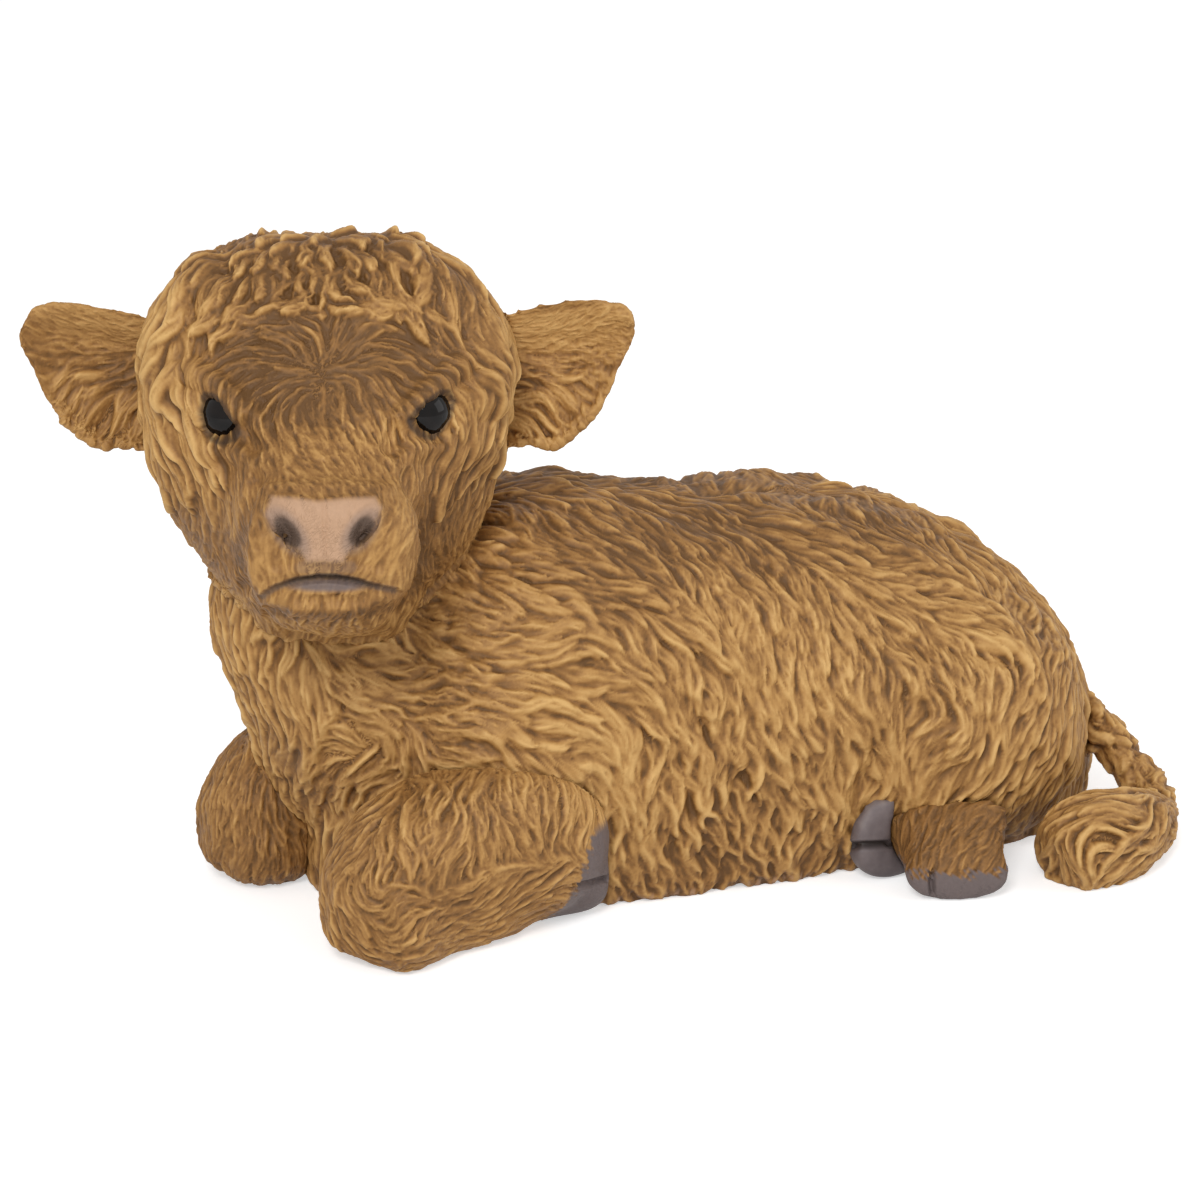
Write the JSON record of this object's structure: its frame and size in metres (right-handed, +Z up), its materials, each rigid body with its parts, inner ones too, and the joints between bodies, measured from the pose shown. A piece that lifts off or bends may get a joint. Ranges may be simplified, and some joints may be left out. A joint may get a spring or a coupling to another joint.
{
  "type": "lying calf figurine",
  "caption": "Lying long-haired calf in painted cast resin, head turned to its left, with glass eyes and a flat closed base.",
  "frame": {"origin": "on the flat underside, at the middle of the trunk's length and width", "axes": "+Z up, -X the way the body faces, -Y the calf's left side, which the head is turned to"},
  "size_m": [0.3828, 0.2007, 0.2272],
  "materials": {
    "coat": "matte painted resin, carved locks in straw and gold over a brown wash",
    "hoof": "matte slate-grey paint",
    "eye": "polished dark brown glass",
    "base": "bare cast resin",
    "plug": "matte rubber"
  },
  "bodies": {
    "root": {"body_casting": "coat", "head_casting": "coat", "left_ear": "coat", "right_ear": "coat", "left_eye": "eye", "right_eye": "eye", "left_foreleg": "coat", "right_foreleg": "coat", "left_hind_leg": "coat", "right_hind_hoof": "hoof", "tail": "coat", "base_plate": "base", "vent_plug": "plug"}
  },
  "joints": []
}
